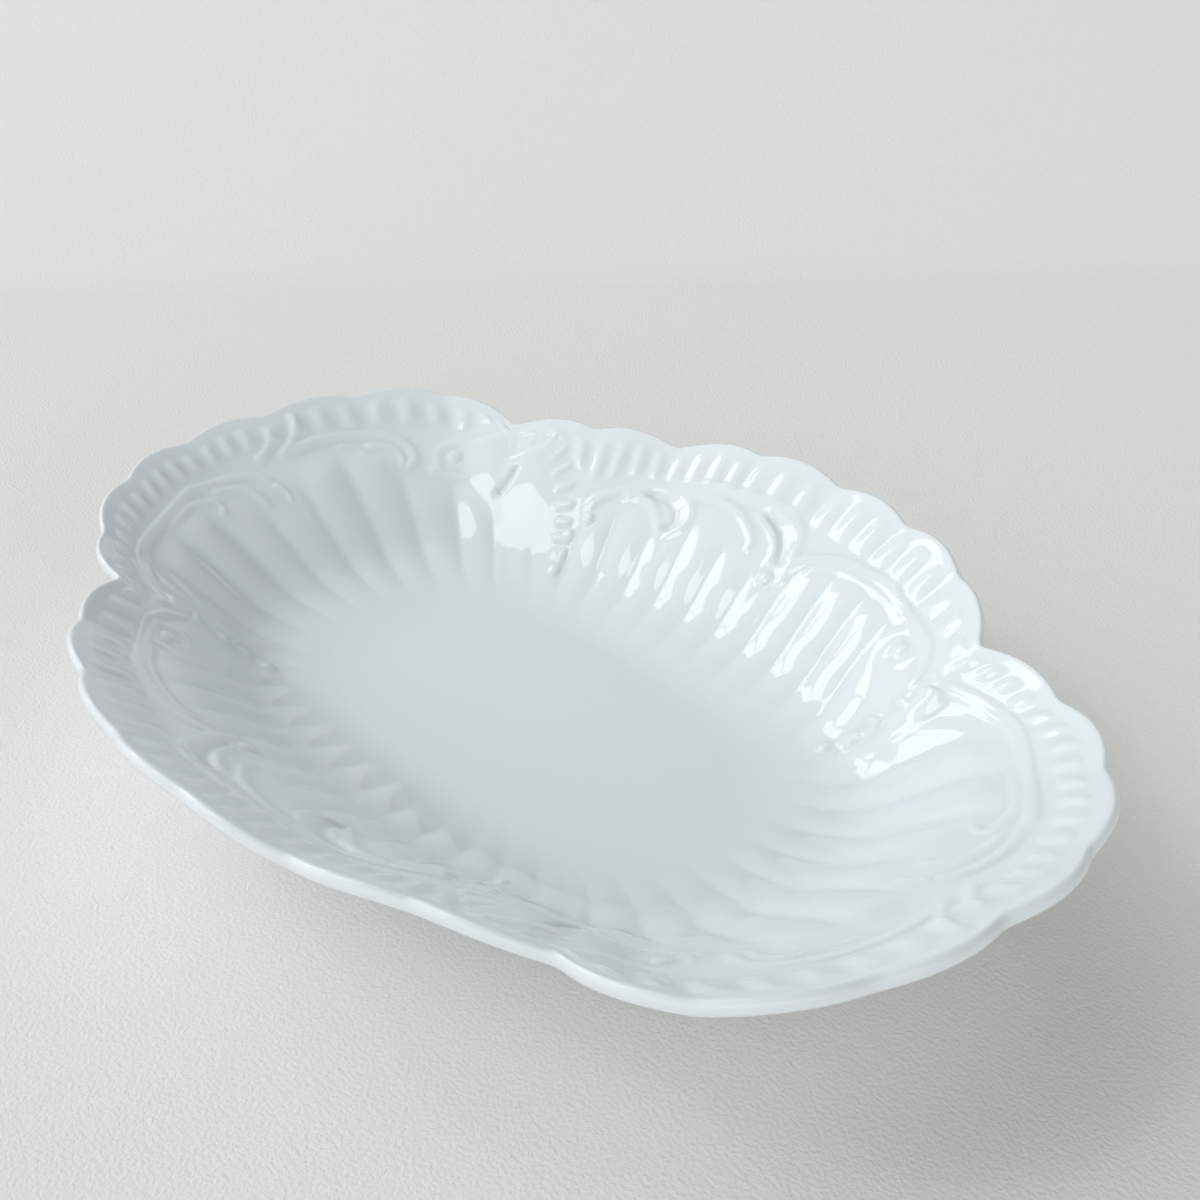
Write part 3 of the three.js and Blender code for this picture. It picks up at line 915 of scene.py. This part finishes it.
class DISH_OT_stage(bpy.types.Operator):
    """Lay the floor and backdrop, hang the lights and set the camera"""

    bl_idname = "relish_dish.stage"
    bl_label = "Studio"

    def execute(self, context):
        scene = context.scene
        away = Vector((-math.sin(CAMERA_AZIMUTH), math.cos(CAMERA_AZIMUTH), 0.0))
        self.floor(scene, away)
        self.air(scene)
        self.window(scene)
        self.camera(scene)
        scene.view_settings.view_transform = "Standard"
        return {"FINISHED"}

    @staticmethod
    def floor(scene, away):
        """A floor that bends up into a gentle slope behind the dish, square to the camera."""
        side = Vector((away.y, -away.x, 0.0))
        middle = Vector((CAMERA_PLACE.x, CAMERA_PLACE.y, 0.0))
        line = [(-STAGE_FRONT, 0.0)]
        for step in range(BEND_STEPS + 1):
            angle = step / BEND_STEPS * BACKDROP_SLOPE
            out = BACKDROP_DISTANCE + BACKDROP_RADIUS * math.sin(angle)
            line.append((out, BACKDROP_RADIUS * (1 - math.cos(angle))))
        last_out, last_z = line[-1]
        line.append((last_out + BACKDROP_REACH * math.cos(BACKDROP_SLOPE),
                     last_z + BACKDROP_REACH * math.sin(BACKDROP_SLOPE)))
        bm = bmesh.new()
        verts = []
        for out, z in line:
            place = middle + away * out - side * STAGE_HALF_WIDTH
            verts.append(bm.verts.new(place + Vector((0, 0, z))))
        edges = [bm.edges.new(pair) for pair in zip(verts, verts[1:])]
        made = bmesh.ops.extrude_edge_only(bm, edges=edges)
        moved = [item for item in made["geom"] if isinstance(item, bmesh.types.BMVert)]
        bmesh.ops.translate(bm, verts=moved, vec=side * 2 * STAGE_HALF_WIDTH)
        bmesh.ops.recalc_face_normals(bm, faces=bm.faces[:])
        if bm.faces[0].normal.z < 0:
            bmesh.ops.reverse_faces(bm, faces=bm.faces[:])
        for face in bm.faces:
            face.smooth = True
        mesh = bpy.data.meshes.new("studio_floor")
        bm.to_mesh(mesh)
        bm.free()
        mesh.materials.append(floor_material(scene.dish_finish))
        floor = bpy.data.objects.new("studio_floor", mesh)
        scene.collection.objects.link(floor)

    @staticmethod
    def air(scene):
        """Soft glows all round, in place of which the camera itself sees the floor's pale tone."""
        world = bpy.data.worlds.new("studio_air")
        scene.world = world
        world.use_nodes = True
        n = Nodes(world.node_tree)
        light = world.node_tree.nodes["Background"]
        where = n.add("ShaderNodeTexCoord")
        total = None
        for azimuth, elevation, begin, strength, colour in GLOWS:
            aligned = n.add("ShaderNodeVectorMath", operation="DOT_PRODUCT")
            aligned.inputs[1].default_value = direction(azimuth, elevation)
            glow = n.add("ShaderNodeMapRange", interpolation_type="SMOOTHSTEP")
            glow.inputs["From Min"].default_value = begin
            glow.inputs["To Max"].default_value = strength
            tinted = n.add("ShaderNodeVectorMath", operation="SCALE")
            tinted.inputs[0].default_value = colour
            n.link(where.outputs["Generated"], aligned.inputs[0])
            n.link(aligned.outputs["Value"], glow.inputs["Value"])
            n.link(glow.outputs["Result"], tinted.inputs["Scale"])
            if total is None:
                total = tinted.outputs["Vector"]
                continue
            added = n.add("ShaderNodeVectorMath", operation="ADD")
            n.link(total, added.inputs[0])
            n.link(tinted.outputs["Vector"], added.inputs[1])
            total = added.outputs["Vector"]
        n.link(total, light.inputs["Color"])
        pale = n.add("ShaderNodeBackground")
        pale.inputs["Color"].default_value = opaque(scene.dish_finish.floor)
        ray = n.add("ShaderNodeLightPath")
        choose = n.add("ShaderNodeMixShader")
        n.link(ray.outputs["Is Camera Ray"], choose.inputs["Fac"])
        n.link(light.outputs["Background"], choose.inputs[1])
        n.link(pale.outputs["Background"], choose.inputs[2])
        n.link(choose.outputs["Shader"], world.node_tree.nodes["World Output"].inputs["Surface"])

    @staticmethod
    def window(scene):
        """Flat lamps that face the dish."""
        for name, (azimuth, elevation, width, height, power) in PANES.items():
            toward = direction(azimuth, elevation)
            pane = bpy.data.lights.new(name, "AREA")
            pane.shape = "RECTANGLE"
            pane.size = width
            pane.size_y = height
            pane.energy = power
            pane.color = PANE_COLOUR
            lamp = bpy.data.objects.new(pane.name, pane)
            lamp.location = toward * WINDOW_DISTANCE
            lamp.rotation_euler = toward.to_track_quat("Z", "Y").to_euler()
            scene.collection.objects.link(lamp)

    @staticmethod
    def camera(scene):
        """The camera at its place, turned about the vertical, tilted down and rolled a little."""
        azimuth, elevation = CAMERA_AZIMUTH, CAMERA_ELEVATION
        back = Vector((math.sin(azimuth) * math.cos(elevation), -math.cos(azimuth) * math.cos(elevation),
                       math.sin(elevation)))
        right = Vector((math.cos(azimuth), math.sin(azimuth), 0.0))
        up = back.cross(right)
        cos, sin = math.cos(CAMERA_ROLL), math.sin(CAMERA_ROLL)
        turn = Matrix((right * cos + up * sin, up * cos - right * sin, back)).transposed().to_4x4()
        data = bpy.data.cameras.new("camera")
        data.sensor_width = 36.0
        data.lens = CAMERA_LENS
        data.clip_start = 0.01
        camera = bpy.data.objects.new("camera", data)
        camera.matrix_world = Matrix.Translation(CAMERA_PLACE) @ turn
        scene.collection.objects.link(camera)
        scene.camera = camera


class DISH_PT_panel(bpy.types.Panel):
    """Buttons and sizes of the relish dish"""

    bl_label = "Relish Dish"
    bl_idname = "DISH_PT_panel"
    bl_space_type = "VIEW_3D"
    bl_region_type = "UI"
    bl_category = "Relish Dish"

    def draw(self, context):
        for operator in OPERATORS:
            self.layout.operator(operator.bl_idname)
        for group in (context.scene.dish_sizes, context.scene.dish_finish):
            for name in group.__annotations__:
                self.layout.prop(group, name)


OPERATORS = (DISH_OT_stage, DISH_OT_body, DISH_OT_foot)
CLASSES = (DishSizes, DishFinish, *OPERATORS, DISH_PT_panel)


def register():
    for item in CLASSES:
        bpy.utils.register_class(item)
    bpy.types.Scene.dish_sizes = bpy.props.PointerProperty(type=DishSizes)
    bpy.types.Scene.dish_finish = bpy.props.PointerProperty(type=DishFinish)


def unregister():
    del bpy.types.Scene.dish_finish
    del bpy.types.Scene.dish_sizes
    for item in reversed(CLASSES):
        bpy.utils.unregister_class(item)


def main():
    register()
    bpy.ops.relish_dish.stage()
    bpy.ops.relish_dish.body()
    bpy.ops.relish_dish.foot()


if __name__ == "__main__":
    main()
